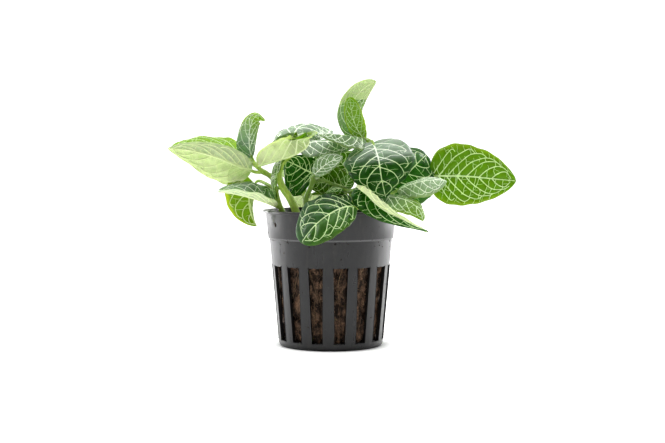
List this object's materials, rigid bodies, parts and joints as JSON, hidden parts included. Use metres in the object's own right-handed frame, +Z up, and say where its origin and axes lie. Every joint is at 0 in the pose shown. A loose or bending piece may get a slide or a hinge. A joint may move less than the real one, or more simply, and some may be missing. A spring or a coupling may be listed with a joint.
{
  "type": "potted nerve plant",
  "caption": "Bushy creeping house plant with white-netted oval green leaves, growing from a brown plug in a small slotted black nursery pot.",
  "frame": {"origin": "middle of the flat underside of the pot, on the pot's axis", "axes": "+Z up along the pot's axis, -Y towards the side seen in the picture, +X to that view's right, where the longest leaf points"},
  "size_m": [0.1331, 0.0824, 0.102],
  "materials": {
    "pot_plastic": "satin",
    "plug_fibre": "matte",
    "leafy_green": "satin"
  },
  "bodies": {
    "root": {"pot": "pot_plastic", "growing_plug": "plug_fibre", "shoot_left": "leafy_green", "shoot_tall": "leafy_green", "shoot_centre": "leafy_green", "shoot_top": "leafy_green", "shoot_right": "leafy_green", "shoot_front_right": "leafy_green", "shoot_front": "leafy_green", "shoot_back_left": "leafy_green", "shoot_back_right": "leafy_green"}
  },
  "joints": []
}
